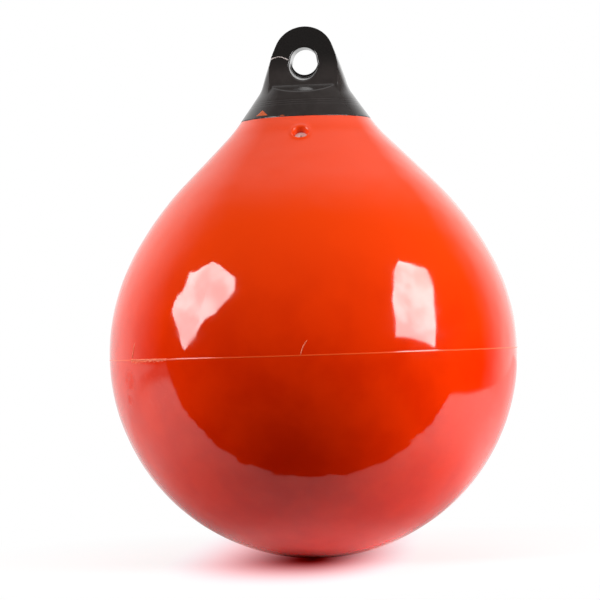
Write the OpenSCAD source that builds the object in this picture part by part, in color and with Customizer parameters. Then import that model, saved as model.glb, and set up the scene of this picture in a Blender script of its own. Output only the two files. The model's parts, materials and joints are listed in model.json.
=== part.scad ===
// Inflatable mooring buoy: a hollow vinyl ball, a moulded rope eye lapped over its neck, and a needle valve.
// The origin is on the floor under the ball's centre, +Z runs up through the rope eye, and the valve faces -Y.

/* [Ball] */
// Diameter of the inflated ball at its moulding line
ball_d = 457; // [400:1:540]
// Thickness of the vinyl skin
skin_t = 3.2; // [2.4:0.1:4.5]
// Diameter of the flat where the skin presses on the floor
foot_d = 60; // [40:1:90]
// Height of the moulding line that runs round the ball
seam_h = 0.6; // [0.2:0.1:1.5]
// Width of the moulding line
seam_w = 1.8; // [1:0.1:4]

/* [Shoulder and neck] */
// Angle between the shoulder's cone and the axis
cone_angle = 45; // [42:0.5:50]
// Distance of the cone outside the ball's own tangent cone
shoulder_out = 6; // [3:0.5:12]
// Latitude at which the shoulder leaves the ball
shoulder_from = 28; // [18:1:32]
// Diameter of the body at the rope eye's lower edge
neck_d = 147; // [136:1:165]
// Radius of the hollow curve below the rope eye's lower edge
flare_r = 150; // [100:5:220]
// Height of the neck that goes up inside the rope eye
neck_h = 14; // [8:1:18]

/* [Rope eye] */
// Angle between the skirt and the axis
skirt_angle = 35; // [30:0.5:39]
// Height above the skirt's lower edge at which the eye's sides leave the skirt
skirt_h = 31; // [28:0.5:34]
// Thickness of the skirt's lower edge where it laps over the neck
skirt_t = 4.5; // [3:0.1:7]
// Angle between the eye's sides and the axis
side_angle = 21; // [18:0.5:25]
// Angle between the eye's flat faces and the axis
face_angle = 20; // [14:0.5:21]
// Angle between the trimmed corners of the eye's sides and the axis
corner_angle = 11; // [8:0.5:14]
// Radius of the eye's round top
top_r = 33.5; // [31:0.5:38]
// Thickness of the eye between its flat faces, at the rope hole's centre
lug_t = 42; // [40:0.5:48]
// Diameter of the rope hole
bore_d = 30; // [24:0.5:34]
// Distance of the rope hole below the centre of the round top
bore_drop = 5.5; // [3:0.5:8]
// Radius of the rope hole's rounded lips
lip_r = 8; // [5:0.1:9]
// Height of the shelf's outer edge above the skirt's lower edge
shelf_up = 28.9; // [28.6:0.1:32]
// Slope of the shelf under the flat faces
shelf_angle = 26; // [20:1:30]
// Radius of the hollow corner between a flat face and its shelf
shelf_r = 5; // [3:0.5:6]
// Depth of the fine rings round the skirt
ring_depth = 0.5; // [0.3:0.1:0.9]
// Height of the lowest fine ring above the skirt's lower edge
ring_up = 21.7; // [19:0.1:21.8]
// Distance between the fine rings
ring_pitch = 2.6; // [2.2:0.1:2.9]
// Depth of the plug that fills the neck, below the neck's top
plug_depth = 11; // [5:0.5:13]

/* [Valve] */
// Distance of the valve's mouth outside the neck's radius
valve_drop = 15.5; // [13:0.5:36]
// Diameter of the well that the valve sits in
well_d = 14; // [12:0.2:18]
// Depth of the valve's face below the skin
well_depth = 6.6; // [6:0.2:9]
// Radius of the well's rounded mouth
mouth_r = 5; // [3:0.2:6]
// Diameter of the boss that carries the valve inside the skin
boss_d = 26; // [24:0.5:32]
// Length of the boss, from the outside of the skin
boss_len = 20; // [18:0.5:26]
// Thickness of the valve's head
head_t = 3; // [2:0.1:4]
// Diameter of the valve's stem
stem_d = 9.6; // [8:0.1:10.5]
// Length of the barb that holds the stem behind the boss
barb_len = 7; // [5:0.5:9]
// Diameter of the needle hole
needle_d = 2.4; // [1.6:0.1:3]
// Depth of the needle hole
needle_len = 14; // [8:0.5:15]

/* [Fits] */
// Gap between the rope eye and the neck's curved faces
lap_gap = 0.2; // [0.1:0.05:0.4]
// Gap round the valve in its boss
valve_gap = 0.1; // [0.05:0.05:0.3]

/* [Hidden] */
$fn = 96;

vinyl_orange = [0.90, 0.16, 0.03];
vinyl_black = [0.07, 0.065, 0.065];
rubber_white = [0.86, 0.83, 0.82];

arc_step = 3;      // largest turn between neighbouring points of an arc
crease = 0.5;      // how far a rounded lip overshoots, so that it meets a face at a clear angle
mouth_lift = 0.8;  // the same for the valve well's mouth, which lies where the cone begins to curve
past = 40;         // how far a cut runs past the piece that it goes through

ball_r = ball_d / 2;
foot_r = foot_d / 2;
ball_z = sqrt(ball_r * ball_r - foot_r * foot_r);   // height of the ball's centre above the floor
neck_r = neck_d / 2;
bore_r = bore_d / 2;
well_r = well_d / 2;

// Directions and points are [distance from the axis, height above the ball's centre].
function toward(angle) = [cos(angle), sin(angle)];

// Points of an arc from one angle to another, both ends included
function arc(centre, radius, from, to) =
    let (steps = max(1, ceil(abs(to - from) / arc_step)))
    [for (i = [0 : steps]) centre + radius * toward(from + (to - from) * i / steps)];

// The shoulder is an arc that leaves the ball smoothly and runs smoothly into the cone.
cone_reach = ball_r + shoulder_out;                 // distance of the cone from the ball's centre
shoulder_cos = cos(cone_angle - shoulder_from);
shoulder_r = (cone_reach - ball_r * shoulder_cos) / (1 - shoulder_cos);
shoulder_c = (ball_r - shoulder_r) * toward(shoulder_from);

// The hollow flare turns the cone into the skirt, and its end sets the height of the neck.
flare_turn = cone_angle - skirt_angle;
neck_z = (cone_reach + flare_r * (1 - cos(flare_turn)) - neck_r * cos(cone_angle)) / sin(cone_angle);
flare_c = [neck_r, neck_z] + flare_r * toward(skirt_angle);

// The neck stands inside the skirt on a flat ledge, and leans in as the skirt does.
neck_lean = tan(skirt_angle);
neck_wall = skin_t / cos(skirt_angle);              // the skin measured level
neck_foot_r = neck_r - skirt_t;
neck_top_z = neck_z + neck_h;
function neck_outer(z) = neck_foot_r - neck_lean * (z - neck_z);
function neck_inner(z) = neck_outer(z) - neck_wall;
// Height at which the skin inside the cone meets the skin inside the neck
cone_inner = cone_reach - skin_t;
inner_bend_z = (cone_inner - (neck_inner(neck_z) + neck_lean * neck_z) * cos(cone_angle))
    / (sin(cone_angle) - neck_lean * cos(cone_angle));

// Rope eye: a wedge with a round top stands in a conical skirt, and a slimmer cone trims its corners.
bend_z = neck_z + skirt_h;
bend_r = neck_r - neck_lean * skirt_h;
side_lean = tan(side_angle);
function skirt_r(z) = neck_r - neck_lean * (z - neck_z);
function side_x(z) = bend_r - side_lean * (z - bend_z);
top_c = bend_z + (bend_r - top_r / cos(side_angle)) / side_lean;
bore_z = top_c - bore_drop;
plug_z = neck_top_z - plug_depth;
function face_y(z) = lug_t / 2 - tan(face_angle) * (z - bore_z);
shelf_z = neck_z + shelf_up;
function shelf_height(y) = shelf_z + (skirt_r(shelf_z) - y) * tan(shelf_angle);
// The shelf's hollow corner touches the shelf, and a plane that lies just under the wedge's face.
from_face = shelf_r - crease + lug_t / 2 * cos(face_angle) + bore_z * sin(face_angle);
from_shelf = shelf_r + skirt_r(shelf_z) * sin(shelf_angle) + shelf_z * cos(shelf_angle);
shelf_c = [from_face * cos(shelf_angle) - from_shelf * sin(face_angle),
           from_shelf * cos(face_angle) - from_face * sin(shelf_angle)] / cos(face_angle + shelf_angle);
lip_foot = bore_r - 2;     // the lip leans with the face, so its foot starts inside the hole's wall
ring_count = 3;

// Valve, along an axis square to the cone
valve_out = neck_r + valve_drop;
valve_z = (cone_reach - valve_out * cos(cone_angle)) / sin(cone_angle);
seat_depth = well_depth + head_t;
hole_r = stem_d / 2 + valve_gap;
barb_r = stem_d / 2 + 2;
barb_tip_r = stem_d / 2 - 1.4;
funnel = 0.8;                                       // width and depth of the needle hole's lead-in

// Half section of everything inside the skin's outer face
module outer_section() {
    seam_half = asin(seam_w / 2 / ball_r);
    polygon(concat(
        [[0, -ball_z]],
        arc([0, 0], ball_r, -asin(ball_z / ball_r), -seam_half),
        [[ball_r + seam_h, -seam_w / 6], [ball_r + seam_h, seam_w / 6]],
        arc([0, 0], ball_r, seam_half, shoulder_from),
        arc(shoulder_c, shoulder_r, shoulder_from, cone_angle),
        arc(flare_c, flare_r, 180 + cone_angle, 180 + skirt_angle),
        [[neck_foot_r, neck_z], [neck_outer(neck_top_z), neck_top_z], [0, neck_top_z]]
    ));
}

// Half section of the air inside the skin, carried on up through the neck's mouth
module air_section() {
    inside_r = ball_r - skin_t;
    inside_z = ball_z - skin_t;
    polygon(concat(
        [[0, -inside_z]],
        arc([0, 0], inside_r, -asin(inside_z / inside_r), shoulder_from),
        arc(shoulder_c, shoulder_r - skin_t, shoulder_from, cone_angle),
        [for (z = [inner_bend_z, neck_top_z + 1]) [neck_inner(z), z]],
        [[0, neck_top_z + 1]]
    ));
}

// Puts what is drawn along +Z at the valve, with +Z pointing out of the well's mouth
module at_valve() {
    translate([0, -valve_out, ball_z + valve_z]) rotate([90 - cone_angle, 0, 0]) children();
}

// Room for the valve: rounded mouth, well, and the hole for its stem
module valve_well() {
    rotate_extrude() difference() {
        translate([0, mouth_lift - mouth_r]) square([well_r + mouth_r, mouth_r + past]);
        translate([well_r + mouth_r, mouth_lift - mouth_r]) circle(mouth_r);
    }
    translate([0, 0, -seat_depth]) cylinder(r = well_r, h = seat_depth);
    translate([0, 0, -boss_len - past]) cylinder(r = hole_r, h = boss_len + past);
}

module body_shell() {
    color(vinyl_orange) difference() {
        translate([0, 0, ball_z]) rotate_extrude() outer_section();
        difference() {
            translate([0, 0, ball_z]) rotate_extrude() air_section();
            at_valve() translate([0, 0, -boss_len]) cylinder(d = boss_d, h = boss_len);
        }
        at_valve() valve_well();
    }
}

// Half section of the skirt before its shelves are cut, hollowed to take the neck
module skirt_section() {
    groove_in = neck_inner(neck_top_z) - lap_gap;
    rings = [for (i = [0 : ring_count - 1]) neck_z + ring_up + i * ring_pitch];
    polygon(concat(
        [[0, plug_z], [neck_inner(plug_z) - lap_gap, plug_z]],
        [[groove_in, neck_top_z], [neck_outer(neck_top_z) + lap_gap, neck_top_z]],
        [[neck_foot_r + lap_gap, neck_z], [neck_r, neck_z]],
        [for (z = rings, step = [[-1, 0], [0, 1], [1, 0]])
            let (ring_z = z + step[0] * ring_depth) [skirt_r(ring_z) - step[1] * ring_depth, ring_z]],
        [[skirt_r(shelf_c[1]), shelf_c[1]], [0, shelf_c[1]]]
    ));
}

// Cuts the sloping shelf in front of the wedge, with a hollow corner that runs just under the wedge's face
module shelf_cut() {
    far_y = neck_r + past;
    top_z = shelf_c[1] + shelf_r;
    rotate([90, 0, 90]) linear_extrude(2 * far_y, center = true) polygon(concat(
        arc(shelf_c, shelf_r, 180 + face_angle, 270 - shelf_angle),
        [[far_y, shelf_height(far_y)], [far_y, top_z], [face_y(top_z) - crease / cos(face_angle), top_z]]
    ));
}

// The wedge that carries the rope hole, from inside the skirt up
module eye_wedge() {
    foot_z = neck_top_z + crease;
    top_z = top_c + top_r;
    corner_foot = bend_r - 2 * crease + (bend_z - foot_z) * tan(corner_angle);
    corner_top = corner_foot - (top_z + crease - foot_z) * tan(corner_angle);
    intersection() {
        rotate([90, 0, 0]) linear_extrude(2 * neck_r, center = true) polygon(concat(
            [[-side_x(foot_z), foot_z], [side_x(foot_z), foot_z]],
            arc([0, top_c], top_r, side_angle, 180 - side_angle)
        ));
        rotate([90, 0, 90]) linear_extrude(2 * neck_r, center = true) polygon([
            for (side = [[-1, foot_z - crease], [1, foot_z - crease], [1, top_z + crease], [-1, top_z + crease]])
                [side[0] * face_y(side[1]), side[1]]
        ]);
        translate([0, 0, foot_z - crease])
            cylinder(r1 = corner_foot + crease * tan(corner_angle), r2 = corner_top, h = top_z - foot_z + 2 * crease);
    }
}

// Rope hole through the eye, with a rounded lip at each flat face
module rope_hole() {
    rotate([90, 0, 0]) cylinder(r = bore_r, h = lug_t + 2 * past, center = true);
    for (turn = [0, 180]) rotate([0, 0, turn]) translate([0, -lug_t / 2, 0]) rotate([90 - face_angle, 0, 0])
        rotate_extrude() difference() {
            translate([0, crease - lip_r]) square([lip_foot + lip_r, lip_r + past]);
            translate([lip_foot + lip_r, crease - lip_r]) circle(lip_r);
        }
}

module rope_eye() {
    color(vinyl_black) translate([0, 0, ball_z]) difference() {
        union() {
            difference() {
                rotate_extrude() skirt_section();
                for (turn = [0, 180]) rotate([0, 0, turn]) shelf_cut();
            }
            eye_wedge();
        }
        translate([0, 0, bore_z]) rope_hole();
    }
}

module valve_plug() {
    stem_r = stem_d / 2;
    head_r = well_r - valve_gap;
    color(rubber_white) at_valve() rotate_extrude() polygon([
        [0, -well_depth - needle_len],
        [needle_d / 2, -well_depth - needle_len],
        [needle_d / 2, -well_depth - funnel],
        [needle_d / 2 + funnel, -well_depth],
        [head_r - funnel, -well_depth],
        [head_r, -well_depth - funnel],
        [head_r, -seat_depth],
        [stem_r, -seat_depth],
        [stem_r, -boss_len - valve_gap],
        [barb_r, -boss_len - valve_gap],
        [barb_tip_r, -boss_len - barb_len],
        [0, -boss_len - barb_len]
    ]);
}

body_shell();
rope_eye();
valve_plug();
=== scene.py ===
import json
import math

import bpy
import numpy as np
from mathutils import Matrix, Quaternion, Vector, noise


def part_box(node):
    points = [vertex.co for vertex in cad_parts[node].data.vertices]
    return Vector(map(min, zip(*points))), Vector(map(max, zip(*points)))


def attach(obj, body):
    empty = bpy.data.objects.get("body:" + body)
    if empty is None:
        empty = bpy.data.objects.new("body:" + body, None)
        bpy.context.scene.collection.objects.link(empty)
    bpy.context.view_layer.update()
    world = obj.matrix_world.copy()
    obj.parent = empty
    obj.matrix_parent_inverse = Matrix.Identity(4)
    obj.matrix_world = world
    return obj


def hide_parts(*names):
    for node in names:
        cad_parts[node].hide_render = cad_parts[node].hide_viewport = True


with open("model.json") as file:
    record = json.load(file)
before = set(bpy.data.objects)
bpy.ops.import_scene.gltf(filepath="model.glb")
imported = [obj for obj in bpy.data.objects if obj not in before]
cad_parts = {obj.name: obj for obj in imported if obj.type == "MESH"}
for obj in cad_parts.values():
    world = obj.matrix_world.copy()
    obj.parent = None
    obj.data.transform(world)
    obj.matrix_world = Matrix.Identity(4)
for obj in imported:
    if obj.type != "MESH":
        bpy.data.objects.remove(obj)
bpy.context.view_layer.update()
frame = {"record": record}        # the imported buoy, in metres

bodyLow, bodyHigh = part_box("body_shell")
eyeLow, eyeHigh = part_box("rope_eye")
mounts = {mount["name"]: mount for mount in frame["record"]["mounts"]}
mm = 0.001


def toward(angle):
    return np.array([math.cos(math.radians(angle)), math.sin(math.radians(angle))])


def smooth(low, high, value):
    part = np.clip((value - low) / (high - low), 0.0, 1.0)
    return part * part * (3 - 2 * part)


# Skin: a turned shell with a moulding line, and a round well for the valve
skin = dict(
    seamHeight=0.6 * mm, seamWidth=1.8 * mm, seamBead=0.18 * mm,  # moulding line, as drawn and as it shows
    seamRoom=2.6,                                       # where the ball's even rows begin, in half widths
    footR=30 * mm,                                      # flat that presses on the floor
    coneAngle=45, shoulderOut=6 * mm, shoulderFrom=28,
    flareR=150 * mm, skirtAngle=35,                     # hollow curve below the rope eye
    ledge=4.5 * mm, neckRise=13.8 * mm,                 # neck inside the rope eye
    columns=320, ballStep=4.6 * mm, shoulderStep=3.2 * mm, coneStep=2.2 * mm,
    footRows=(0, 0.4, 0.75),                            # rows on the flat, as shares of its radius
    seamRows=(-1.8, -1.3, -1, -0.75, -0.5, -0.25, 0, 0.25, 0.5, 0.75, 1, 1.3, 1.8),  # in half widths
    # length and height of the skin's waves, and where they start above the floor and end below the rope eye
    swells=[(67 * mm, 0.16 * mm), (28 * mm, 0.10 * mm), (16 * mm, 0.07 * mm)],
    swellGain=1.6, swellApart=(7.3, 2.1, 4.7), swellFrom=(3 * mm, 40 * mm), swellTo=(1 * mm, 12 * mm),
)
ballR = (bodyHigh.x - bodyLow.x) / 2 - skin["seamHeight"]
ballZ = math.sqrt(ballR ** 2 - skin["footR"] ** 2)
ballC = np.array([0.0, ballZ])                          # in a section: distance from the axis, height
neckR = (eyeHigh.x - eyeLow.x) / 2
neckZ = eyeLow.z
coneReach = ballR + skin["shoulderOut"]
shoulderCos = math.cos(math.radians(skin["coneAngle"] - skin["shoulderFrom"]))
shoulderR = (coneReach - ballR * shoulderCos) / (1 - shoulderCos)
shoulderC = ballC + (ballR - shoulderR) * toward(skin["shoulderFrom"])
flareC = np.array([neckR, neckZ]) + skin["flareR"] * toward(skin["skirtAngle"])
skirtLean = math.tan(math.radians(skin["skirtAngle"]))
coneOut = toward(skin["coneAngle"])                     # square to the cone

# Camera: its place from the ball's middle, its view there, and where it aims
camera = dict(
    away=2.9, rise=0.020, yaw=4.1, roll=-1.9,
    sensor=36.0, frameWidth=0.674,
    aimRight=-0.0132, aimUp=0.0606,
)


def placeCamera(c):
    yaw = math.radians(c["yaw"])
    right = Vector((math.cos(yaw), math.sin(yaw), 0))
    middle = Vector((0, 0, ballZ))
    spot = middle + c["away"] * Vector((math.sin(yaw), -math.cos(yaw), 0)) + Vector((0, 0, c["rise"]))
    aim = middle + right * c["aimRight"] + Vector((0, 0, c["aimUp"]))
    lens = bpy.data.cameras.new("camera")
    lens.sensor_width = c["sensor"]
    lens.lens = c["sensor"] * c["away"] / c["frameWidth"]
    eye = bpy.data.objects.new("camera", lens)
    eye.location = spot
    eye.rotation_mode = "QUATERNION"
    turn = Quaternion((0, 0, 1), math.radians(c["roll"]))
    eye.rotation_quaternion = (aim - spot).to_track_quat("-Z", "Y") @ turn
    bpy.context.scene.collection.objects.link(eye)
    bpy.context.scene.camera = eye


placeCamera(camera)
print("camera placed")


# Finishes: a wire stands for one socket, and sums and products of wires add Math nodes
class Wire:
    def __init__(self, finish, socket):
        self.finish = finish
        self.socket = socket

    def __add__(self, other):
        return self.finish.maths("ADD", self, other)

    def __radd__(self, other):
        return self.finish.maths("ADD", other, self)

    def __sub__(self, other):
        return self.finish.maths("SUBTRACT", self, other)

    def __rsub__(self, other):
        return self.finish.maths("SUBTRACT", other, self)

    def __mul__(self, other):
        return self.finish.maths("MULTIPLY", self, other)

    def __rmul__(self, other):
        return self.finish.maths("MULTIPLY", other, self)


class Finish:
    def __init__(self, owner):
        owner.use_nodes = True
        self.owner = owner
        self.tree = owner.node_tree
        self.tree.nodes.clear()

    # any node: its type, its settings, then the values or links of its sockets
    def node(self, kind, settings=None, sockets=None, out=0):
        made = self.tree.nodes.new(kind)
        for key, value in (settings or {}).items():
            setattr(made, key, value)
        for key, value in (sockets or {}).items():
            if isinstance(value, Wire):
                self.tree.links.new(value.socket, made.inputs[key])
            else:
                made.inputs[key].default_value = value
        return Wire(self, made.outputs[out]) if made.outputs else None

    def maths(self, kind, first, second):
        return self.node("ShaderNodeMath", {"operation": kind}, {0: first, 1: second})

    def mix(self, share, first, second):
        return self.node("ShaderNodeMix", {"data_type": "RGBA"}, {0: share, 6: first, 7: second}, out=2)

    def band(self, value, low, high):
        return self.node("ShaderNodeMapRange", {"interpolation_type": "SMOOTHSTEP"},
                         {"Value": value, "From Min": low, "From Max": high})

    def place(self):
        return self.node("ShaderNodeTexCoord", out="Object")

    # a place's distances along the axes named
    def along(self, place, axes):
        return [self.node("ShaderNodeSeparateXYZ", {}, {0: place}, out=axis) for axis in axes]

    def cloud(self, place, size, detail=3.0, rough=0.5):
        return self.node("ShaderNodeTexNoise", {},
                         {"Vector": place, "Scale": 1 / size, "Detail": detail, "Roughness": rough})

    # a cloud cut into soft patches
    def patches(self, place, size, limits, detail=4.0, rough=0.6):
        return self.band(self.cloud(place, size, detail, rough), *limits)

    # fades from one at a spot to nothing at its reach
    def near(self, place, spot, reach, core=0.35):
        apart = self.node("ShaderNodeVectorMath", {"operation": "DISTANCE"}, {0: place, 1: spot}, out="Value")
        return 1 - self.band(apart, reach * core, reach)

    def bump(self, height, depth):
        return self.node("ShaderNodeBump", {}, {"Height": height, "Distance": depth, "Strength": 1.0})

    def surface(self, sockets):
        shader = self.node("ShaderNodeBsdfPrincipled", {}, sockets)
        self.node("ShaderNodeOutputMaterial", {}, {"Surface": shader})
        return self.owner


cloudMean = 0.5                                         # middle value of a cloud


def newFinish(name):
    return Finish(bpy.data.materials.new(name))


# Slow waves in the blown skin, still at the floor and at the rope eye
def swell(point):
    apart, aside, above = skin["swellApart"]
    start, full = skin["swellFrom"]
    end, fading = skin["swellTo"]
    height = 0.0
    for i, (length, rise) in enumerate(skin["swells"]):
        place = Vector(point) / length + Vector((apart * i, aside, above))
        height += rise * skin["swellGain"] * noise.noise(place)
    return height * smooth(start, full, point[2]) * smooth(neckZ - end, neckZ - fading, point[2])


# Point on the ball's skin: angle from the front towards +X, and height above the moulding line
def onBall(angle, rise, out=0.0):
    level = math.sqrt(ballR ** 2 - rise ** 2)
    angle = math.radians(angle)
    away = np.array([level * math.sin(angle), -level * math.cos(angle), rise])
    point = away + np.array([0, 0, ballZ])
    return point + away / ballR * (swell(point) + out)


orange = dict(
    deep=(0.70, 0.024, 0.0003, 1), bright=(0.78, 0.032, 0.0005, 1), mottle=45 * mm, mottleBand=(0.3, 0.7),
    # paler towards the top, a painted light from above; paler at the neck where it is drawn up, and on the
    # moulding line
    faded=(0.78, 0.053, 0.004, 1), fadeFrom=-35 * mm, fadeTo=180 * mm,
    neckPale=(0.80, 0.085, 0.036, 1), neckFrom=16 * mm, neckTo=3 * mm,
    seamPale=(0.86, 0.105, 0.022, 1), seamHalf=(0.25 * mm, 0.9 * mm), seamRough=0.16,
    gloss=0.055, bend=1.54, smudge=30 * mm, smudgeBand=(0.45, 0.75), smudgeRough=0.05,
    scuffed=(0.78, 0.06, 0.025, 1), scuffAt=onBall(-44.5, -27 * mm), scuffReach=45 * mm,
    scuff=7 * mm, scuffBand=(0.50, 0.66), scuffShare=0.35, scuffRough=0.20,
    speck=1.6 * mm, speckBand=(0.73, 0.80), speckShare=0.25,
    # dull patches, with their reach
    dull=[(onBall(-57.0, -22 * mm), 17 * mm), (onBall(-59.0, -44 * mm), 9 * mm)],
    dullGrain=5 * mm, dullBand=(0.36, 0.50), dullRough=0.42,
    grain=1.1 * mm, grainShare=0.35, ripple=9 * mm, grainDepth=0.02 * mm,
)


def orangeVinyl(o):
    f = newFinish("orange vinyl")
    place = f.place()
    mottle = f.patches(place, o["mottle"], o["mottleBand"], detail=3.0, rough=0.5)
    smudge = f.patches(place, o["smudge"], o["smudgeBand"], detail=5.0)
    worn = f.near(place, tuple(o["scuffAt"]), o["scuffReach"])
    scuff = f.patches(place, o["scuff"], o["scuffBand"], detail=6.0, rough=0.65) * worn
    speck = f.patches(place, o["speck"], o["speckBand"], detail=2.0, rough=0.5)
    height = f.along(place, "Z")[0]
    seam = 1 - f.band(f.maths("ABSOLUTE", height - ballZ, 0.0), *o["seamHalf"])
    dull = 0.0
    for spot, reach in o["dull"]:
        dull = f.patches(place, o["dullGrain"], o["dullBand"]) * f.near(place, tuple(spot), reach) + dull
    colour = f.mix(mottle, o["deep"], o["bright"])
    # painted light: the skin is mixed paler towards the top, as if lit from above
    colour = f.mix(f.band(height, ballZ + o["fadeFrom"], ballZ + o["fadeTo"]), colour, o["faded"])
    colour = f.mix(f.band(height, neckZ - o["neckFrom"], neckZ - o["neckTo"]), colour, o["neckPale"])
    colour = f.mix(scuff * o["scuffShare"] + speck * o["speckShare"], colour, o["scuffed"])
    colour = f.mix(seam, colour, o["seamPale"])
    rough = smudge * o["smudgeRough"] + scuff * o["scuffRough"] + o["gloss"]
    rough = rough + seam * o["seamRough"] + dull * o["dullRough"]
    grain = f.cloud(place, o["grain"], detail=2.0) * o["grainShare"] + f.cloud(place, o["ripple"], detail=2.0)
    return f.surface({"Base Color": colour, "Roughness": rough, "IOR": o["bend"],
                      "Normal": f.bump(grain, o["grainDepth"])})


black = dict(
    deep=(0.029, 0.0260, 0.0248, 1), worn=(0.043, 0.0388, 0.0370, 1), gloss=0.13, bend=1.5,
    top=(0.0145, 0.0140, 0.0135, 1), topFrom=46 * mm, topTo=76 * mm,    # painted shade: it deepens up the rope eye
    blotch=14 * mm, blotchBand=(0.35, 0.7), blotchShare=0.45, blotchRough=0.06,
    rub=3 * mm, rubBand=(0.55, 0.75), rubShare=0.4, rubRough=0.08,
    grain=0.8 * mm, grainShare=0.5, ripple=6 * mm, grainDepth=0.03 * mm,
)


def blackVinyl(b):
    f = newFinish("black vinyl")
    place = f.place()
    blotch = f.patches(place, b["blotch"], b["blotchBand"])
    rub = f.patches(place, b["rub"], b["rubBand"], detail=5.0, rough=0.65)
    colour = f.mix(blotch * b["blotchShare"] + rub * b["rubShare"], b["deep"], b["worn"])
    height = f.along(place, "Z")[0]
    # painted shade: the black is mixed darker up the rope eye, where its face mirrors the dark front
    colour = f.mix(f.band(height, neckZ + b["topFrom"], neckZ + b["topTo"]), colour, b["top"])
    rough = blotch * b["blotchRough"] + rub * b["rubRough"] + b["gloss"]
    grain = f.cloud(place, b["grain"], detail=2.0) * b["grainShare"] + f.cloud(place, b["ripple"], detail=2.0)
    return f.surface({"Base Color": colour, "Roughness": rough, "IOR": b["bend"],
                      "Normal": f.bump(grain, b["grainDepth"])})


white = dict(clean=(0.90, 0.86, 0.84, 1), dusty=(0.78, 0.73, 0.71, 1), dust=4 * mm, dustBand=(0.4, 0.75),
             matt=0.42, dustRough=0.15, grain=0.6 * mm, grainDepth=0.02 * mm)


def whiteRubber(w):
    f = newFinish("white rubber")
    place = f.place()
    dust = f.patches(place, w["dust"], w["dustBand"])
    colour = f.mix(dust, w["clean"], w["dusty"])
    return f.surface({"Base Color": colour, "Roughness": dust * w["dustRough"] + w["matt"],
                      "Normal": f.bump(f.cloud(place, w["grain"], detail=2.0), w["grainDepth"])})


# Rough vinyl of the moulding flash: paler than the skin because it scatters light
crumbly = dict(deep=(0.82, 0.10, 0.03, 1), pale=(0.90, 0.24, 0.11, 1), crumb=1.5 * mm, crumbBand=(0.35, 0.65),
               matt=0.28, crumbRough=0.2, crumbDepth=0.1 * mm)


def flashVinyl(c):
    f = newFinish("flash vinyl")
    crumb = f.patches(f.place(), c["crumb"], c["crumbBand"])
    colour = f.mix(crumb, c["deep"], c["pale"])
    return f.surface({"Base Color": colour, "Roughness": crumb * c["crumbRough"] + c["matt"],
                      "IOR": orange["bend"], "Normal": f.bump(crumb, c["crumbDepth"])})


# Orange vinyl that bled thinly over the black
bled = dict(thick=(0.60, 0.105, 0.012, 1), thin=(0.40, 0.065, 0.010, 1), patch=2 * mm, patchBand=(0.35, 0.7),
            gloss=0.2, thinRough=0.15)


def bleedVinyl(b):
    f = newFinish("bled vinyl")
    thin = f.patches(f.place(), b["patch"], b["patchBand"])
    colour = f.mix(thin, b["thick"], b["thin"])
    return f.surface({"Base Color": colour, "Roughness": thin * b["thinRough"] + b["gloss"],
                      "IOR": orange["bend"]})


# weld line's colour: a painted highlight in pale grey, with darker worn patches
pale = dict(clean=(0.66, 0.62, 0.60, 1), worn=(0.36, 0.34, 0.33, 1), patch=2.5 * mm, patchBand=(0.35, 0.7),
            gloss=0.3, wornRough=0.2)


def weldHighlightVinyl(p):
    f = newFinish("pale weld line")
    worn = f.patches(f.place(), p["patch"], p["patchBand"])
    colour = f.mix(worn, p["clean"], p["worn"])
    return f.surface({"Base Color": colour, "Roughness": worn * p["wornRough"] + p["gloss"]})


finishes = dict(orange=orangeVinyl(orange), black=blackVinyl(black), white=whiteRubber(white),
                flash=flashVinyl(crumbly), bleed=bleedVinyl(bled), pale=weldHighlightVinyl(pale))
print("finishes made")


def makePiece(name, points, faces, finish, replaced=None, crease=40):
    mesh = bpy.data.meshes.new(name)
    mesh.from_pydata([tuple(point) for point in points], [], [tuple(face) for face in faces])
    mesh.validate()
    mesh.shade_smooth()
    mesh.set_sharp_from_angle(angle=math.radians(crease))
    mesh.materials.append(finishes[finish])
    piece = bpy.data.objects.new(name, mesh)
    bpy.context.scene.collection.objects.link(piece)
    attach(piece, "root")
    if replaced:
        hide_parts(replaced)
    print(name, "has", len(mesh.polygons), "faces")
    return piece


# Faces of a turned shape whose first and last rows are single points; cells in the gap are left open
def turnedFaces(rows, columns, gap=None):
    first = [0] + [1 + columns * i for i in range(rows - 2)] + [1 + columns * (rows - 2)]
    faces = []
    for j in range(columns):
        k = (j + 1) % columns
        faces.append((0, first[1] + k, first[1] + j))
        faces.append((first[-2] + j, first[-2] + k, first[-1]))
        for i in range(1, rows - 2):
            if gap is None or not gap(i, j):
                faces.append((first[i] + j, first[i] + k, first[i + 1] + k, first[i + 1] + j))
    return faces


def turnedPoints(section, columns, origin, front, side, axis):
    angles = np.arange(columns) * 2 * math.pi / columns
    spokes = np.outer(np.cos(angles), front) + np.outer(np.sin(angles), side)
    points = [origin + section[0][1] * axis]
    for radius, height in section[1:-1]:
        points.extend(origin + radius * spokes + height * axis)
    points.append(origin + section[-1][1] * axis)
    return np.array(points)


# Valve well, along the needle port's axis; its mouth is where that axis leaves the cone
well = dict(
    r=7 * mm, seat=9.6 * mm, holeR=4.9 * mm, boss=20 * mm, pocketR=7.3 * mm, pocket=27.6 * mm,
    mouth=10.2 * mm, mouthR=2 * mm, mouthTurn=68, mouthSteps=7,         # rounded mouth above a cone
    patch=16.5 * mm,                                                    # half width of the gap made for it
    rim=0.5 * mm, rimWidth=2.2 * mm, rimDeep=1 * mm, rimRoom=1.2 * mm,  # low raised rim
    rimSteps=(3.8 * mm, 3.0 * mm, 2.3 * mm, 1.6 * mm, 1.0 * mm, 0.4 * mm),
)
port = mounts["needle_port"]
valveAxis = np.array(port["axis"])
valveAxis = valveAxis / np.linalg.norm(valveAxis)
valveUp = np.array([0.0, valveAxis[2], -valveAxis[1]])
acrossX = np.array([1.0, 0.0, 0.0])
frontward = np.array([0.0, -1.0, 0.0])
upward = np.array([0.0, 0.0, 1.0])


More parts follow.
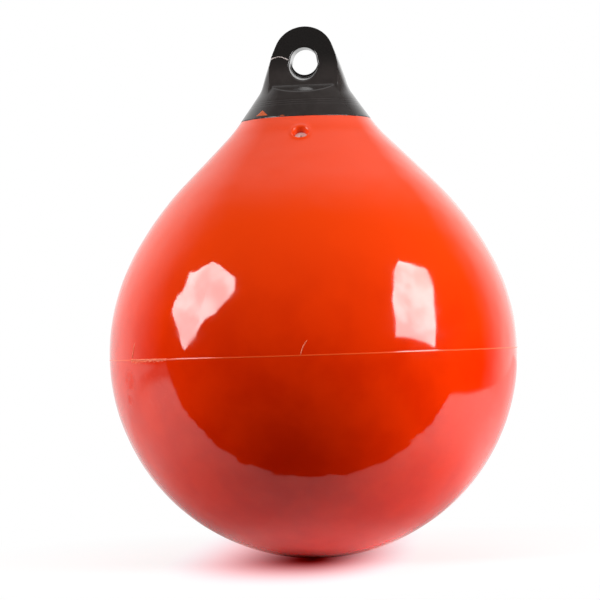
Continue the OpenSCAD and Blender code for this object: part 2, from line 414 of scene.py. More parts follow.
# Distance of a point outside the cone or the hollow curve above it
def skinGap(point):
    section = np.array([math.hypot(point[0], point[1]), point[2]])
    fromFlare = section - flareC
    if math.degrees(math.atan2(fromFlare[1], fromFlare[0])) % 360 < 180 + skin["coneAngle"]:
        return skin["flareR"] - np.linalg.norm(fromFlare)
    return (section - ballC) @ coneOut - coneReach


def ontoSkin(point, turns=4):
    for turn in range(turns):
        point = point - valveAxis * skinGap(point)
    return point


portAt = np.array(port["pos_m"])
portSection = np.array([math.hypot(portAt[0], portAt[1]), portAt[2]])
valveMouth = portAt + valveAxis * (coneReach - (portSection - ballC) @ coneOut)


def arcRows(centre, radius, start, end, step):
    count = max(1, round(math.radians(abs(end - start)) * radius / step))
    return [centre + radius * toward(start + (end - start) * i / count) for i in range(count + 1)]


def straightRows(start, end, step):
    count = max(1, round(np.linalg.norm(end - start) / step))
    return [start + (end - start) * i / count for i in range(1, count)]


# Section of the skin from the floor up, and how many of its rows show
def skinSection(s):
    seamHalf = math.degrees(math.asin(s["seamWidth"] / 2 / ballR))
    lowest = -math.degrees(math.asin(ballZ / ballR))
    rows = [np.array([s["footR"] * part, 0.0]) for part in s["footRows"]]
    beside = seamHalf * s["seamRoom"]
    rows += arcRows(ballC, ballR, lowest, -beside, s["ballStep"])
    for part in s["seamRows"]:
        bead = s["seamBead"] * max(1 - part * part, 0) ** 2
        rows.append(ballC + (ballR + bead) * toward(part * seamHalf))
    rows += arcRows(ballC, ballR, beside, s["shoulderFrom"], s["ballStep"])
    rows += arcRows(shoulderC, shoulderR, s["shoulderFrom"], s["coneAngle"], s["shoulderStep"])[1:]
    flare = arcRows(flareC, s["flareR"], 180 + s["coneAngle"], 180 + s["skirtAngle"], s["coneStep"])
    rows += straightRows(rows[-1], flare[0], s["coneStep"]) + flare
    showing = len(rows)
    neckFoot = neckR - s["ledge"]
    neckTop = neckZ + s["neckRise"]
    topR = neckFoot - skirtLean * s["neckRise"]
    rows += [np.array(p) for p in ((neckFoot, neckZ), (topR, neckTop), (topR / 2, neckTop), (0, neckTop))]
    return rows, showing


def buoyBody(s, w):
    rows, showing = skinSection(s)
    columns = s["columns"]
    points = turnedPoints(rows, columns, np.zeros(3), frontward, acrossX, upward)
    upCone = np.array([-coneOut[1], coneOut[0]])
    mouthRow = np.array([-valveMouth[1], valveMouth[2]])
    inPatch = [i for i in range(1, showing) if abs((rows[i] - mouthRow) @ upCone) < w["patch"]]
    low, high = inPatch[0] - 1, inPatch[-1] + 1
    half = math.ceil(w["patch"] * columns / (2 * math.pi * mouthRow[0]))

    def inGap(i, j):
        return low <= i < high and (j < half or j >= columns - half)

    faces = turnedFaces(len(rows), columns, inGap)

    # waves, square to each row
    angles = np.arange(columns) * 2 * math.pi / columns
    for i in range(1, showing):
        along = rows[i + 1] - rows[i - 1] if i + 1 < showing else rows[i] - rows[i - 1]
        out = np.array([along[1], -along[0]]) / np.linalg.norm(along)
        for j in range(columns):
            place = 1 + (i - 1) * columns + j
            normal = np.array([out[0] * math.sin(angles[j]), -out[0] * math.cos(angles[j]), out[1]])
            points[place] += normal * swell(points[place])

    # edge of the gap, anticlockwise from its lower left corner
    border = [(low, j) for j in range(-half, half)] + [(i, half) for i in range(low, high)]
    border += [(high, j) for j in range(half, -half, -1)] + [(i, -half) for i in range(high, low, -1)]
    border = [1 + (i - 1) * columns + j % columns for i, j in border]
    offsets = [points[place] - valveMouth for place in border]
    flats = [np.array([offset @ acrossX, offset @ valveUp]) for offset in offsets]

    # rings of the well: radius and depth, from the skin over the rounded mouth to the pocket behind the barb
    rings = [(w["mouth"] + extra, 0.0) for extra in w["rimSteps"]]
    for part in np.linspace(0, 1, w["mouthSteps"]):
        turn = math.radians(w["mouthTurn"]) * part
        rings.append((w["mouth"] - w["mouthR"] * math.sin(turn), w["mouthR"] * (1 - math.cos(turn))))
    coneEnd = rings[-1][1] + (rings[-1][0] - w["r"]) * math.tan(turn)
    rings += [(w["r"], coneEnd), (w["r"], w["seat"]), (w["holeR"], w["seat"]), (w["holeR"], w["boss"])]
    rings += [(w["pocketR"], w["boss"]), (w["pocketR"], w["pocket"])]
    rims = [border]
    extra = []
    start = len(points)
    between = rings[0][0] + w["rimRoom"]
    for radius, depth in [(between, 0.0)] + rings:
        rim = []
        for flat in flats:
            reach = np.linalg.norm(flat)
            across = flat * radius / reach
            # the outermost ring lies half way to the gap's edge
            if radius == between:
                across = flat * (0.5 + 0.5 * rings[0][0] / reach)
            point = valveMouth + across[0] * acrossX + across[1] * valveUp
            onto = ontoSkin(point)
            onto = onto + valveAxis * swell(onto)
            follow = 1 - smooth(0, coneEnd, depth)
            bead = w["rim"] * math.exp(-((radius - w["mouth"]) / w["rimWidth"]) ** 2) * (depth < w["rimDeep"])
            point = point + (onto - point) * follow + valveAxis * (bead - depth)
            rim.append(start + len(extra))
            extra.append(point)
        rims.append(rim)
    for outer, inner in zip(rims, rims[1:]):
        for m in range(len(border)):
            n = (m + 1) % len(border)
            faces.append((outer[m], outer[n], inner[n], inner[m]))
    centre = start + len(extra)
    extra.append(valveMouth - valveAxis * w["pocket"])
    for m in range(len(border)):
        faces.append((rims[-1][m], rims[-1][(m + 1) % len(border)], centre))

    # points inside the gap are dropped
    points = np.vstack([points, extra])
    used = np.unique(np.concatenate([np.array(face) for face in faces]))
    fresh = np.full(len(points), -1)
    fresh[used] = np.arange(len(used))
    faces = [tuple(fresh[list(face)]) for face in faces]
    return makePiece("buoyBody", points[used], faces, "orange", "body_shell")


buoyBody(skin, well)

# Valve: a white plug with a domed face, its stem held behind the boss by a barb
plug = dict(
    headR=6.9 * mm, face=6.6 * mm, edge=0.9 * mm, edgeStep=0.2 * mm, dome=0.25 * mm,
    domeRows=(0.75, 0.5, 0.25, 0.0),                    # from the rounded edge in to the needle's funnel
    stemR=4.8 * mm, slack=0.1 * mm, barbR=6.8 * mm, barbTipR=3.4 * mm, tip=27 * mm,
    needleR=1.2 * mm, needleEnd=20.6 * mm, funnel=0.8 * mm, funnelEdge=0.2 * mm, columns=64,
)


def valvePlug(p, w):
    back = w["boss"] + p["slack"]
    section = [(0, -p["tip"]), (p["barbTipR"], -p["tip"]), (p["barbR"], -back), (p["stemR"], -back)]
    section += [(p["stemR"], -w["seat"]), (p["headR"], -w["seat"])]
    edgeC = np.array([p["headR"] - p["edge"], -p["face"] - p["edge"]])
    section += [tuple(row) for row in arcRows(edgeC, p["edge"], 0, 90, p["edgeStep"])]
    mouth = p["needleR"] + p["funnel"]
    for part in p["domeRows"]:
        radius = mouth + (edgeC[0] - mouth) * part
        section.append((radius, -p["face"] + p["dome"] * (1 - part * part)))
    section += [(p["needleR"] + p["funnelEdge"], -p["face"]), (p["needleR"], -p["face"] - p["funnel"])]
    section += [(p["needleR"], -p["needleEnd"]), (0, -p["needleEnd"])]
    points = turnedPoints(section, p["columns"], valveMouth, acrossX, valveUp, valveAxis)
    faces = turnedFaces(len(section), p["columns"])
    return makePiece("valvePlug", points, faces, "white", "valve_plug")


valvePlug(plug, well)

# Rope eye: a wedge that stands in a conical skirt, wrapped in a mesh from its distance field
ropeEye = dict(
    skirtRise=31 * mm, hemR=0.1 * mm, seatGap=0.2 * mm,
    sideAngle=21, topR=33.5 * mm, faceAngle=20, faceHalf=21 * mm, wedgeEdge=0.3 * mm, joinSoft=2.5 * mm,
    cornerAngle=11, cornerIn=1 * mm, cornerEdge=4 * mm,  # slimmer cone that trims the wedge's corners
    shelfUp=28.9 * mm, shelfAngle=22, shelfR=1.5 * mm, shelfUnder=0.5 * mm, shelfEdge=0.8 * mm,
    # rope hole: its web, its lips, and mouths that slope down outwards
    webR=14.65 * mm, webHalf=2 * mm, webSoft=2.5 * mm, lipR=2.5 * mm,
    mouthR=16.2 * mm, mouthStart=-0.7 * mm, mouthAngle=13, mouthTop=3 * mm, mouthSoft=12 * mm,
    rings=3, ringUp=15.2 * mm, ringPitch=2.45 * mm, ringDepth=0.16 * mm, ringWidth=0.5 * mm,
    lean=0.015,                                          # towards +X, as a share of the height
    # mesh: its cells, the room round them, the longest pull, and how near an edge points are put on it
    cell=(1.0 * mm, 1.0 * mm, 0.75 * mm), room=3 * mm, pull=0.5 * mm, edgeReach=0.5 * mm, crease=50,
)
bore = mounts["rope_eye"]
boreZ = bore["pos_m"][2]
bendZ = neckZ + ropeEye["skirtRise"]
bendR = neckR - skirtLean * ropeEye["skirtRise"]
sideLean = math.tan(math.radians(ropeEye["sideAngle"]))
topC = eyeHigh.z - ropeEye["topR"]
shelfZ = neckZ + ropeEye["shelfUp"]
shelfOut = neckR - skirtLean * (shelfZ - neckZ)
shelfLean = math.tan(math.radians(ropeEye["shelfAngle"]))
cornerLean = math.tan(math.radians(ropeEye["cornerAngle"]))
faceLean = math.tan(math.radians(ropeEye["faceAngle"]))
mouthLean = math.tan(math.radians(ropeEye["mouthAngle"]))
# height at which the shelf meets the wedge's face
shelfEnd = shelfZ + (shelfOut - ropeEye["faceHalf"] - faceLean * boreZ) * shelfLean
shelfEnd = shelfEnd / (1 - faceLean * shelfLean)
skirtTop = shelfEnd + ropeEye["shelfR"] / 2


# Joins two solids with a hollow round corner, or cuts one by the other with a round edge
def roundJoin(first, second, radius):
    corner = np.hypot(np.maximum(radius - first, 0), np.maximum(radius - second, 0))
    return np.maximum(radius, np.minimum(first, second)) - corner


def roundCut(first, second, radius):
    return -roundJoin(-first, -second, radius)


def softJoin(first, second, blend):
    part = np.maximum(blend - np.abs(first - second), 0) / blend
    return np.minimum(first, second) - part * part * blend / 4


# Surfaces of the rope eye, each as the distance of a point outside it
def skirtCone(x, y, z):
    return (np.hypot(x, y) - neckR + skirtLean * (z - neckZ)) * math.cos(math.radians(skin["skirtAngle"]))


def hemPlane(x, y, z):
    return neckZ - z


def wedgeFace(x, y, z):
    lean = math.cos(math.radians(ropeEye["faceAngle"]))
    return (np.abs(y) - ropeEye["faceHalf"] + faceLean * (z - boreZ)) * lean


def wedgeOutline(x, y, z):
    side = (np.abs(x) - bendR + sideLean * (z - bendZ)) * math.cos(math.radians(ropeEye["sideAngle"]))
    top = np.hypot(x, z - topC) - ropeEye["topR"]
    return np.where(z - topC > np.abs(x) * sideLean, top, side)


def wedgeCorner(x, y, z):
    lean = math.cos(math.radians(ropeEye["cornerAngle"]))
    return (np.hypot(x, y) - bendR + ropeEye["cornerIn"] + cornerLean * (z - bendZ)) * lean


def eyeField(x, y, z):
    e = ropeEye
    shelfCos = math.cos(math.radians(e["shelfAngle"]))
    deep = wedgeFace(x, y, z)
    # skirt with its rings, cut by the two shelves
    skirt = skirtCone(x, y, z)
    for i in range(e["rings"]):
        ringZ = neckZ + e["ringUp"] + i * e["ringPitch"]
        skirt = skirt + e["ringDepth"] * np.exp(-((z - ringZ) / e["ringWidth"]) ** 2)
    shelf = (z - shelfZ - (shelfOut - np.abs(y)) * shelfLean) * shelfCos
    skirt = roundCut(skirt, roundJoin(deep + e["shelfUnder"], shelf, e["shelfR"]), e["shelfEdge"])
    skirt = np.maximum(skirt, z - skirtTop)
    # wedge with a round top and trimmed corners
    wedge = roundCut(wedgeOutline(x, y, z), wedgeCorner(x, y, z), e["cornerEdge"])
    wedge = roundCut(wedge, deep, e["wedgeEdge"])
    solid = softJoin(skirt, wedge, e["joinSoft"])
    # rope hole: a bore, a mouth on each side that slopes down outwards, and a web where they meet
    rise = z - boreZ
    mouth = e["mouthR"] - np.hypot(x, rise - e["mouthStart"] + mouthLean * np.abs(y))
    mouth = softJoin(mouth, e["mouthTop"] - rise, e["mouthSoft"])
    mouth = softJoin(mouth, np.abs(y) - e["webHalf"], e["webSoft"])
    hole = -softJoin(np.hypot(x, rise) - e["webR"], -mouth, e["webSoft"])
    solid = roundCut(solid, hole, e["lipR"])
    solid = roundCut(solid, hemPlane(x, y, z), e["hemR"])
    seatIn = (skin["ledge"] - e["seatGap"]) * math.cos(math.radians(skin["skirtAngle"]))
    seat = np.maximum(skirtCone(x, y, z) + seatIn, z - neckZ - skin["neckRise"] - e["seatGap"])
    return np.maximum(solid, -seat)


# The eye's slight lean, from its lower edge up
def leaning(points):
    points = np.array(points)
    points[..., 0] += ropeEye["lean"] * (points[..., 2] - neckZ)
    return points


# Wraps the zero level of a field: one point in each cell that it crosses, one face for each grid edge
def wrapField(field, low, high, cell):
    cell = np.array(cell)
    axes = [np.arange(a, b + c, c) for a, b, c in zip(low, high, cell)]
    value = field(*np.meshgrid(*axes, indexing="ij"))
    inside = value < 0
    shape = tuple(count - 1 for count in inside.shape)
    corners = [(i, j, k) for i in (0, 1) for j in (0, 1) for k in (0, 1)]
    filled = np.zeros(shape, dtype=np.int8)
    for i, j, k in corners:
        filled += inside[i:i + shape[0], j:j + shape[1], k:k + shape[2]]
    cells = np.argwhere((filled > 0) & (filled < len(corners)))
    spot = np.full(shape, -1)
    spot[tuple(cells.T)] = np.arange(len(cells))
    total = np.zeros((len(cells), 3))
    hits = np.zeros(len(cells))
    for start in corners:
        for axis in range(3):
            if start[axis]:
                continue
            end = list(start)
            end[axis] = 1
            first = value[tuple((cells + start).T)]
            second = value[tuple((cells + end).T)]
            crossed = (first < 0) != (second < 0)
            point = np.tile(np.array(start, dtype=float), (len(cells), 1))
            point[:, axis] = first / np.where(crossed, first - second, 1)
            total += point * crossed[:, None]
            hits += crossed
    points = np.array(low) + (cells + total / hits[:, None]) * cell
    faces = []
    for axis in range(3):
        second, third = (axis + 1) % 3, (axis + 2) % 3
        here = np.moveaxis(inside, axis, 0)
        edges = np.argwhere(np.moveaxis(here[:-1] != here[1:], 0, axis))
        around = []
        for b, c in ((-1, -1), (0, -1), (0, 0), (-1, 0)):
            beside = edges.copy()
            beside[:, second] += b
            beside[:, third] += c
            around.append(spot[tuple(beside.T)])
        around = np.array(around).T
        outward = inside[tuple(edges.T)]
        faces.append(np.where(outward[:, None], around, around[:, ::-1]))
    return points, np.vstack(faces)


def slopeOf(field, points, step=0.01 * mm):
    slope = np.empty_like(points)
    for axis in range(3):
        shift = np.zeros(3)
        shift[axis] = step
        slope[:, axis] = (field(*(points + shift).T) - field(*(points - shift).T)) / (2 * step)
    return slope


# Pulls points onto the field's zero level, along its slope
def settle(field, points, limit, turns=5, flattest=0.2):
    for turn in range(turns):
        slope = slopeOf(field, points)
        steep = np.maximum((slope ** 2).sum(1), flattest)
        pull = slope * (field(*points.T) / steep)[:, None]
        points = points - np.clip(pull, -limit, limit)
    return points


# Puts points that lie near two surfaces at once on the edge where they meet
def sharpen(points, first, second, reach, spare=None, turns=3):
    near = (np.abs(first(*points.T)) < reach) & (np.abs(second(*points.T)) < reach)
    if spare is not None:
        near &= spare(*points.T) < 0
    edge = points[near]
    for turn in range(turns):
        for field in (first, second):
            edge = settle(field, edge, reach, turns=1)
    points = points.copy()
    points[near] = edge
    return points


def buildRopeEye(e):
    low = np.array(eyeLow) - e["room"]
    high = np.array(eyeHigh) + e["room"]
    points, faces = wrapField(eyeField, low, high, e["cell"])
    points = settle(eyeField, points, e["pull"])
    points = sharpen(points, wedgeFace, wedgeOutline, e["edgeReach"], wedgeCorner)
    points = sharpen(points, wedgeFace, wedgeCorner, e["edgeReach"], wedgeOutline)
    points = sharpen(points, skirtCone, hemPlane, e["edgeReach"])
    faces = faces.tolist()
    return makePiece("ropeEye", leaning(points), faces, "black", "rope_eye", e["crease"])


buildRopeEye(ropeEye)

# Raised line along a surface: a slim tube with tapered ends, half sunk
lines = dict(sides=8, sunk=0.35, taper=0.2)


def raisedLine(name, path, outs, width, height, finish):
    path = np.array(path)
    widths = np.broadcast_to(width, len(path))
    outs = np.array(outs)
    count = len(path)
    points = [path[0] - outs[0] * height * lines["sunk"]]
    for i in range(1, count - 1):
        along = path[i + 1] - path[i - 1]
        along = along / np.linalg.norm(along)
        side = np.cross(outs[i], along)
        taper = min(1.0, math.sqrt(min(i, count - 1 - i) / (lines["taper"] * count)))
        for k in range(lines["sides"]):
            turn = 2 * math.pi * k / lines["sides"]
            across = math.cos(turn) * widths[i] / 2 * taper
            up = (math.sin(turn) * 0.5 + 0.5 - lines["sunk"]) * height * taper
            points.append(path[i] - side * across + outs[i] * up)
    points.append(path[-1] - outs[-1] * height * lines["sunk"])
    faces = [tuple(reversed(face)) for face in turnedFaces(count, lines["sides"])]
    return makePiece(name, points, faces, finish)


# Mould marks that rise from the moulding line: angle and height at the start and end, and sideways bow
marks = dict(
    left=dict(start=(-54.8, 0.0), end=(-53.2, 19.5 * mm), bow=0.0, width=1.4 * mm, height=0.6 * mm),
    middle=dict(start=(0.7, 0.0), end=(2.7, 16.5 * mm), bow=-0.35, width=1.1 * mm, height=0.45 * mm),
)


def mouldMark(name, m, steps=18):
    path, outs = [], []
    for i in range(steps + 1):
        part = i / steps
        angle = m["start"][0] + (m["end"][0] - m["start"][0]) * part + m["bow"] * math.sin(math.pi * part)
        point = onBall(angle, m["start"][1] + (m["end"][1] - m["start"][1]) * part)
        path.append(point)
        outs.append((point - np.array([0, 0, ballZ])) / ballR)
    return raisedLine(name, path, outs, m["width"], m["height"], "flash")


for side, mark in marks.items():
    mouldMark(side + "MouldMark", mark)


# Layer that lies on a surface: a grid of points lifted by its height map, closed by a sunk underside
def layer(name, spot, lift, across, down, sunk, finish):
    top, under = [], []
    for j in range(down + 1):
        for i in range(across + 1):
            edge = i in (0, across) or j in (0, down)
            top.append(spot(i / across, j / down, -sunk if edge else lift(i / across, j / down)))
            under.append(spot(i / across, j / down, -2 * sunk))
    wide = across + 1
    size = len(top)
    faces = []
    for j in range(down):
        for i in range(across):
            a = j * wide + i
            quad = (a, a + wide, a + wide + 1, a + 1)
            faces.append(quad)
            faces.append(tuple(size + p for p in reversed(quad)))
    ring = list(range(across)) + [j * wide + across for j in range(down)]
    ring += [down * wide + i for i in range(across, 0, -1)] + [j * wide for j in range(down, 0, -1)]
    for a, b in zip(ring, ring[1:] + ring[:1]):
        faces.append((a, b, size + b, size + a))
    return makePiece(name, top + under, faces, finish)


# Ragged flash under the left end of the moulding line
flash = dict(
    fromAngle=-55.6, toAngle=-37.5, above=1.3 * mm, below=7.5 * mm, across=220, down=26,
    sunk=0.25 * mm, bed=0.6,                            # depth of its rim, and its share where it is bare
    lip=0.7 * mm, lipWidth=0.9 * mm, startFade=0.03, endFade=0.8,
    crumb=0.55 * mm, crumbBand=(-0.1, 0.45), crumbTop=1 * mm, thinning=0.75,
    lumps=(34, 7, 3.1), lumpNoise=(0.9, 2.1, 3),
)


def seamFlash(s):
    def spot(part, deep, out):
        angle = s["fromAngle"] + (s["toAngle"] - s["fromAngle"]) * part
        return onBall(angle, s["above"] - (s["above"] + s["below"]) * deep, out)

    def lift(part, deep):
        rise = s["above"] - (s["above"] + s["below"]) * deep
        ends = smooth(0, s["startFade"], part) * smooth(1, s["endFade"], part)
        lip = s["lip"] * math.exp(-(rise / s["lipWidth"]) ** 2)
        along, downward, seed = s["lumps"]
        lump = noise.fractal(Vector((part * along, deep * downward, seed)), *s["lumpNoise"])
        reach = smooth(-s["below"] * (1 - s["thinning"] * part), -s["crumbTop"], rise)
        crumb = s["crumb"] * smooth(*s["crumbBand"], lump) * reach
        return (lip + crumb) * ends - s["sunk"] * s["bed"]

    return layer("seamFlash", spot, lift, s["across"], s["down"], s["sunk"], "flash")


seamFlash(flash)


# Point on the rope eye's skirt: angle from the front, and height above its lower edge
def onSkirt(angle, rise, out=0.0):
    radius = neckR - skirtLean * rise
    lean = math.radians(skin["skirtAngle"])
    radius += out * math.cos(lean)
    angle = math.radians(angle)
    return leaning([radius * math.sin(angle), -radius * math.cos(angle), neckZ + rise + out * math.sin(lean)])


# Orange bleeds on the skirt: the angle and height of each one's foot and tip
bleeds = dict(
    patch=dict(left=-47.5, right=-31.0, tip=-41.5, foot=3.2 * mm, top=9.8 * mm),
    smear=dict(left=-20.0, right=-13.5, tip=-17.0, foot=1.2 * mm, top=2.4 * mm),
)
bleedForm = dict(across=16, down=14, sunk=0.15 * mm, thick=0.12 * mm, ragged=0.25, lumps=(9, 2, 5.5))


def orangeBleed(name, b, form):
    downward, along, seed = form["lumps"]

    def spot(part, deep, out):
        rise = b["top"] + (b["foot"] - b["top"]) * deep
        left = b["tip"] + (b["left"] - b["tip"]) * deep
        right = b["tip"] + (b["right"] - b["tip"]) * deep
        ragged = form["ragged"] * noise.noise(Vector((deep * downward, part * along, seed)))
        return onSkirt(left + (right - left) * part + ragged, rise, out)

    def lift(part, deep):
        return form["thick"]

    return layer(name, spot, lift, form["across"], form["down"], form["sunk"], "bleed")


for word, bleed in bleeds.items():
    orangeBleed(word + "OrangeBleed", bleed, bleedForm)

# Weld line round the eye's left limb, painted pale grey as its highlight, its ends measured from the rope
# hole's middle
weld = dict(
    start=(-37.2 * mm, 1.675 * mm), end=(-17.0 * mm, 0.375 * mm), bow=3.4 * mm, steps=40,
    width=0.8 * mm, endWidth=3.2 * mm, endPower=4, height=0.5 * mm,
    pull=2 * mm, pullTurns=12, slopeStep=0.05 * mm,
)


def weldLine(w):
    parts = np.linspace(0, 1, w["steps"] + 1)
    x = w["start"][0] + (w["end"][0] - w["start"][0]) * parts
    rise = w["start"][1] + (w["end"][1] - w["start"][1]) * parts + w["bow"] * np.sin(math.pi * parts)
    y = faceLean * rise - ropeEye["faceHalf"]
    path = settle(eyeField, np.stack([x, y, boreZ + rise], axis=1), w["pull"], w["pullTurns"])
    outs = slopeOf(eyeField, path, w["slopeStep"])
    outs = outs / np.linalg.norm(outs, axis=1)[:, None]
    widths = w["width"] + (w["endWidth"] - w["width"]) * (2 * parts - 1) ** w["endPower"]
    return raisedLine("weldLine", leaning(path), outs, widths, w["height"], "pale")


weldLine(weld)
print("pieces made")

# Studio: a white table with a front edge, a pale backdrop, and three softboxes
studio = dict(
    size=8.0, drop=0.2 * mm, tableColour=0.95, sheen=0.12, sheenRough=0.38,
    # table's front edge, square to the view, and its right edge, out of the view
    front=-0.222, frontSlope=0.0717, ragged=0.055, raggedSize=0.05, edgeSoft=0.003,
    right=(0.74, 0.84), rightSlope=0.42,
    # light painted on the table: less near the ball, more on the right and under it, and its share in matt
    # light
    shade=(0.20, 0.40), shadeLevel=0.62, sideways=(-0.3, 0.3), sideLevels=(0.85, 1.2),
    under=(0.07, 0.15), underGain=0.9, bounce=(1.0, 0.45, 0.35),
    # red shade painted round the foot: its middle and reach, where its red, green and blue come back, and its
    # end
    haloAt=(-0.005, -0.05), haloSides=(0.12, 0.085), haloEnds=(0.22, 0.9),
    haloBands=[(-0.1, 0.95), (0.1, 1.4), (0.1, 1.35)], haloFade=(0.2, 0.45),
    # plain white share of the floor, and what the gloss sees of it behind the ball
    selfLit=0.7, fade=(0.15, 0.5), behind=(0.2, 0.7), behindLevel=0.9,
)


def studioFloor(s):
    half = s["size"]
    mesh = bpy.data.meshes.new("studioFloor")
    corners = [(x * half, y * half, -s["drop"]) for x, y in ((-1, -1), (1, -1), (1, 1), (-1, 1))]
    mesh.from_pydata(corners, [], [(0, 1, 2, 3)])
    f = newFinish("studio floor")
    place = f.place()
    sideways, lengthways = f.along(place, "XY")
    toCamera = f.node("ShaderNodeLightPath", out="Is Camera Ray")
    toGloss = f.node("ShaderNodeLightPath", out="Is Glossy Ray")
    toMatt = f.node("ShaderNodeLightPath", out="Is Diffuse Ray")
    away = f.node("ShaderNodeVectorMath", {"operation": "LENGTH"}, {0: place}, out="Value")
    # what the object's reflections see: a table that ends in front and on the right
    ragged = (f.cloud(place, s["raggedSize"], detail=4.0, rough=0.6) - cloudMean) * s["ragged"]
    past = lengthways - sideways * s["frontSlope"] - s["front"] + ragged
    inside = 1 - f.band(sideways - lengthways * s["rightSlope"], *s["right"])
    onTable = f.band(past, -s["edgeSoft"], s["edgeSoft"]) * inside
    low, high = s["sideLevels"]
    shade = f.band(away, *s["shade"]) * (1 - s["shadeLevel"]) + s["shadeLevel"]
    shade = shade * (f.band(sideways, *s["sideways"]) * (high - low) + low)
    shade = shade * ((1 - f.band(away, *s["under"])) * s["underGain"] + 1)
    # what the camera sees: a white floor with the ball's red shade painted on it
    reach = []
    spans = zip((sideways, lengthways), s["haloAt"], (s["haloSides"], s["haloEnds"]))
    for value, middle, (before, after) in spans:
        reach.append(f.maths("MAXIMUM", (value - middle) * (1 / after), (middle - value) * (1 / before)))
    apart = f.node("ShaderNodeCombineXYZ", {}, {0: reach[0], 1: reach[1]})
    apart = f.node("ShaderNodeVectorMath", {"operation": "LENGTH"}, {0: apart}, out="Value")
    ended = f.band(lengthways, *s["haloFade"])
    halo = [f.maths("MAXIMUM", f.band(apart, *limits), ended) for limits in s["haloBands"]]
    lit = [toCamera * tint + (1 - toCamera) * (toMatt * (level - 1) + 1) * shade * s["tableColour"]
           for tint, level in zip(halo, s["bounce"])]
    glow = [toCamera * tint + (1 - toCamera) * s["behindLevel"] for tint in halo]
    lit, glow = (f.node("ShaderNodeCombineColor", {}, dict(enumerate(parts))) for parts in (lit, glow))
    matt = f.node("ShaderNodeBsdfDiffuse", {}, {"Color": lit})
    sheen = f.node("ShaderNodeBsdfAnisotropic", {}, {"Color": (1, 1, 1, 1), "Roughness": s["sheenRough"]})
    shown = f.node("ShaderNodeMixShader", {}, {0: toCamera * s["sheen"], 1: matt, 2: sheen})
    clear = f.node("ShaderNodeBsdfTransparent", {}, {})
    shown = f.node("ShaderNodeMixShader", {}, {0: f.maths("MAXIMUM", toCamera, onTable), 1: clear, 2: shown})
    plain = f.node("ShaderNodeEmission", {}, {"Color": glow})
    far = (f.band(away, *s["fade"]) * (1 - s["selfLit"]) + s["selfLit"]) * toCamera
    far = far + f.band(lengthways, *s["behind"]) * inside * toGloss
    shown = f.node("ShaderNodeMixShader", {}, {0: far, 1: shown, 2: plain})
    f.node("ShaderNodeOutputMaterial", {}, {"Surface": shown})
    mesh.materials.append(f.owner)
    floor = bpy.data.objects.new("studioFloor", mesh)
    bpy.context.scene.collection.objects.link(floor)


studioFloor(studio)

# Backdrop: it starts softly on the left and sharply on the right; fill is a low even light
backdrop = dict(left=(-0.05, 0.70), leftLevel=0.95, right=(0.34, 0.92), rightLevel=1.3, middle=0.12,
                overhead=(0.78, 1.06), overheadBack=0.5, overheadLevel=0.8, fill=(0.12, 0.03, 0.02))


def studioWorld(b):
    world = bpy.data.worlds.new("studio")
    bpy.context.scene.world = world
    f = Finish(world)
    way = f.node("ShaderNodeTexCoord", out="Generated")
    sideways, lengthways, upwards = f.along(way, "XYZ")
    toRight = f.band(sideways, -b["middle"], b["middle"])
    behind = f.band(lengthways, *b["left"]) * b["leftLevel"] * (1 - toRight)
    behind = behind + f.band(lengthways, *b["right"]) * b["rightLevel"] * toRight
    low, high = b["overhead"]
    above = f.node("ShaderNodeMapRange", {}, {"Value": lengthways * b["overheadBack"] + upwards,
                                             "From Min": low, "From Max": high})
    seen = f.maths("MAXIMUM", behind, above * above * b["overheadLevel"])
    toCamera = f.node("ShaderNodeLightPath", out="Is Camera Ray")
    toMatt = f.node("ShaderNodeLightPath", out="Is Diffuse Ray")
    grey = toCamera + (1 - toCamera) * seen
    red, green, blue = (grey + toMatt * level for level in b["fill"])
    colour = f.node("ShaderNodeCombineColor", {}, {0: red, 1: green, 2: blue})
    sky = f.node("ShaderNodeBackground", {}, {"Color": colour, "Strength": 1.0})
    f.node("ShaderNodeOutputWorld", {}, {"Surface": sky})


studioWorld(backdrop)

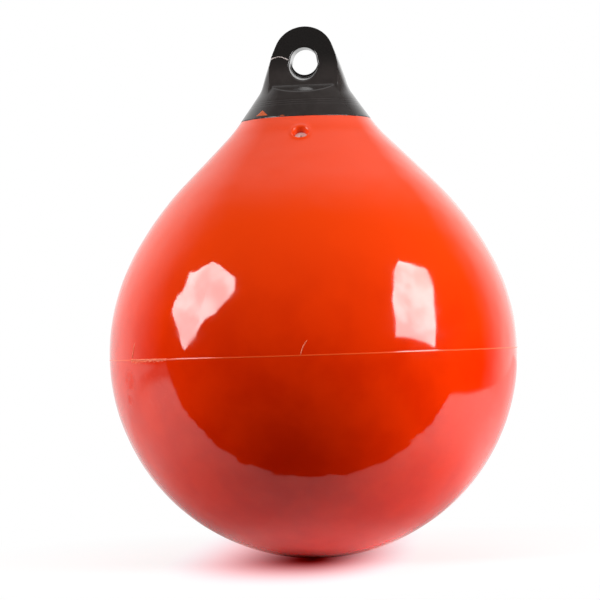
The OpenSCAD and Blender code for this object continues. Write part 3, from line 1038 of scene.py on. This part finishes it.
# Softboxes: panels that the camera doesn't see, of which the low one isn't mirrored in the gloss either
softboxes = dict(
    # corners are metres across and up from a panel's middle
    left=dict(way=(-0.8075, -0.4115, 0.4226), glow=12.6, mirrored=True,
              corners=[(-0.40, 0.32), (-0.27, 0.33), (-0.09, 0.51), (0.46, 0.41), (0.53, 0.27), (0.38, -0.03),
                       (0.33, -0.13), (0.22, -0.22), (-0.10, -0.64), (-0.43, -0.16), (-0.42, 0.0),
                       (-0.33, 0.05)]),
    right=dict(way=(0.8304, -0.4050, 0.3827), glow=14.5, mirrored=True,
               corners=[(-0.15, 0.43), (0.03, 0.58), (0.40, 0.33), (0.15, -0.61), (-0.49, -0.42),
                        (-0.36, 0.06)]),
    low=dict(way=(0.96, -0.28, 0.05), glow=6.5, mirrored=False,
             corners=[(-0.5, -0.2), (0.5, -0.2), (0.5, 0.2), (-0.5, 0.2)]),
)
panels = dict(away=1.6, patch=0.4, patchBand=(0.38, 0.62), dim=(0.7, 0.7, 0.7, 1), full=(1.05, 1.05, 1.05, 1))


def softbox(name, b, p):
    way = Vector(b["way"]).normalized()
    across = Vector((0, 0, 1)).cross(way).normalized()
    up = way.cross(across)
    middle = Vector((0, 0, ballZ)) + way * p["away"]
    mesh = bpy.data.meshes.new(name)
    corners = [tuple(middle + across * x + up * y) for x, y in b["corners"]]
    mesh.from_pydata(corners, [], [tuple(range(len(corners)))])
    f = newFinish(name)
    patchy = f.patches(f.place(), p["patch"], p["patchBand"], detail=3.0)
    colour = f.mix(patchy, p["dim"], p["full"])
    glow = f.node("ShaderNodeEmission", {}, {"Color": colour, "Strength": b["glow"]})
    f.node("ShaderNodeOutputMaterial", {}, {"Surface": glow})
    mesh.materials.append(f.owner)
    panel = bpy.data.objects.new(name, mesh)
    panel.visible_camera = False
    panel.visible_glossy = b["mirrored"]
    panel.visible_shadow = b["mirrored"]
    bpy.context.scene.collection.objects.link(panel)


for side, box in softboxes.items():
    softbox(side + "Softbox", box, panels)

bpy.context.scene.view_settings.view_transform = "Standard"
print("studio lit")
